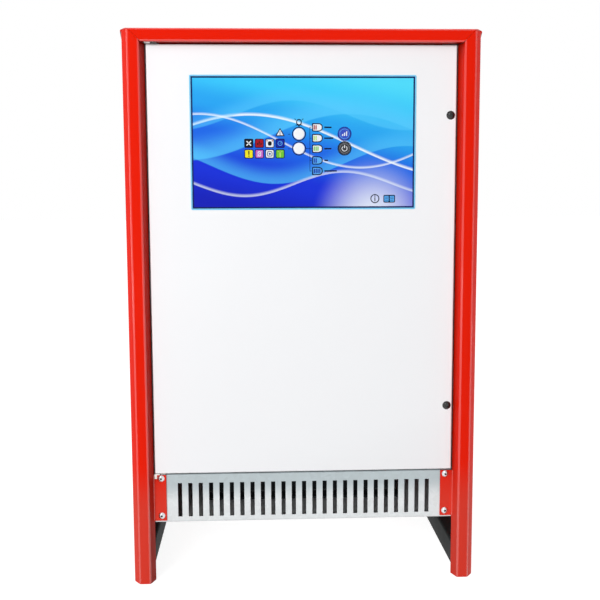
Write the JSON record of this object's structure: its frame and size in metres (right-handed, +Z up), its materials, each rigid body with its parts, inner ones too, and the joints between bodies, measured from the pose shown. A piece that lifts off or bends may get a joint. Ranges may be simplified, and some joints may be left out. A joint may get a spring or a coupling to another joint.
{
  "type": "battery charger",
  "caption": "Floor-standing industrial battery charger: red folded-steel cabinet, hinged white door with a blue control panel, and a galvanised air grille below.",
  "frame": {"origin": "on the floor, in the middle of the cabinet's outline seen from above", "axes": "the front with the door faces -Y, +X is to the right of someone facing it, +Z is up"},
  "size_m": [0.423, 0.3234, 0.665],
  "materials": {
    "red_paint": "gloss red powder coat",
    "white_paint": "satin white powder coat",
    "dark_paint": "satin dark grey paint",
    "galvanised": "galvanised sheet with a fine spangle",
    "zinc_screws": "bright zinc plate",
    "black_screws": "black oxide",
    "foam": "closed-cell foam",
    "gland_nylon": "moulded nylon",
    "overlay_film": "printed polyester film, cyan to deep blue",
    "lamp_diffuser": "milky diffuser",
    "key_blue": "blue key",
    "key_black": "black key",
    "circuit_board": "green solder mask",
    "brass": "bare brass",
    "relay_case": "blue relay case",
    "capacitor_sleeve": "dark shrink sleeve",
    "connector_green": "green terminal housing",
    "core_steel": "varnished core plates",
    "clamp_steel": "grey primed steel",
    "winding": "varnished winding with insulation",
    "heatsink_aluminium": "plain extruded aluminium",
    "module_case": "black moulded case",
    "copper": "bare copper",
    "device_grey": "light grey moulded case",
    "fuse_ceramic": "ceramic and moulded base"
  },
  "bodies": {
    "cabinet": {"side_panel_left": "red_paint", "side_panel_right": "red_paint", "top_cover": "red_paint", "base_rail_left": "dark_paint", "base_rail_right": "dark_paint", "chassis_tray": "galvanised", "front_grille": "galvanised", "door_post_left": "galvanised", "door_post_right": "galvanised", "hinge_bracket_upper": "galvanised", "hinge_bracket_lower": "galvanised", "rear_panel": "galvanised", "mounting_plate": "galvanised", "din_rail": "galvanised", "grille_screws": "zinc_screws", "rear_screws": "zinc_screws", "cover_screws": "zinc_screws", "hinge_pin_upper": "zinc_screws", "hinge_pin_lower": "zinc_screws", "core_bolts": "zinc_screws", "door_seal_left": "foam", "door_seal_right": "foam", "mains_gland": "gland_nylon", "battery_gland": "gland_nylon", "gland_nuts": "gland_nylon", "earth_stud": "brass", "current_shunt": "brass", "transformer_core": "core_steel", "core_clamps_lower": "clamp_steel", "core_clamps_upper": "clamp_steel", "coil_left": "winding", "coil_centre": "winding", "coil_right": "winding", "rectifier_heatsink": "heatsink_aluminium", "diode_modules": "module_case", "contactor": "module_case", "busbar_positive": "copper", "busbar_negative": "copper", "fuse_holders": "device_grey", "terminal_block": "device_grey", "battery_fuse": "fuse_ceramic"},
    "door": {"door": "white_paint", "door_screw_upper": "black_screws", "door_screw_lower": "black_screws", "control_overlay": "overlay_film", "lamp_lens_upper": "lamp_diffuser", "lamp_lens_lower": "lamp_diffuser", "control_board": "circuit_board", "board_standoffs": "brass", "board_screws": "zinc_screws", "board_relays": "relay_case", "board_capacitors": "capacitor_sleeve", "board_connectors": "connector_green"},
    "equalise_button": {"equalise_button": "key_blue"},
    "power_button": {"power_button": "key_black"}
  },
  "joints": [
    {"name": "door_hinge", "type": "hinge", "parent": "cabinet", "child": "door", "pos_m": [-0.1785, -0.14555, 0.392], "axis": [0, 0, -1], "range_deg": [0, 90]},
    {"name": "equalise_press", "type": "slide", "parent": "door", "child": "equalise_button", "axis": [0, 1, 0], "range_m": [0, 0.0008], "stiffness_N_per_m": 600, "springref_m": -0.0004},
    {"name": "power_press", "type": "slide", "parent": "door", "child": "power_button", "axis": [0, 1, 0], "range_m": [0, 0.0008], "stiffness_N_per_m": 600, "springref_m": -0.0004}
  ]
}
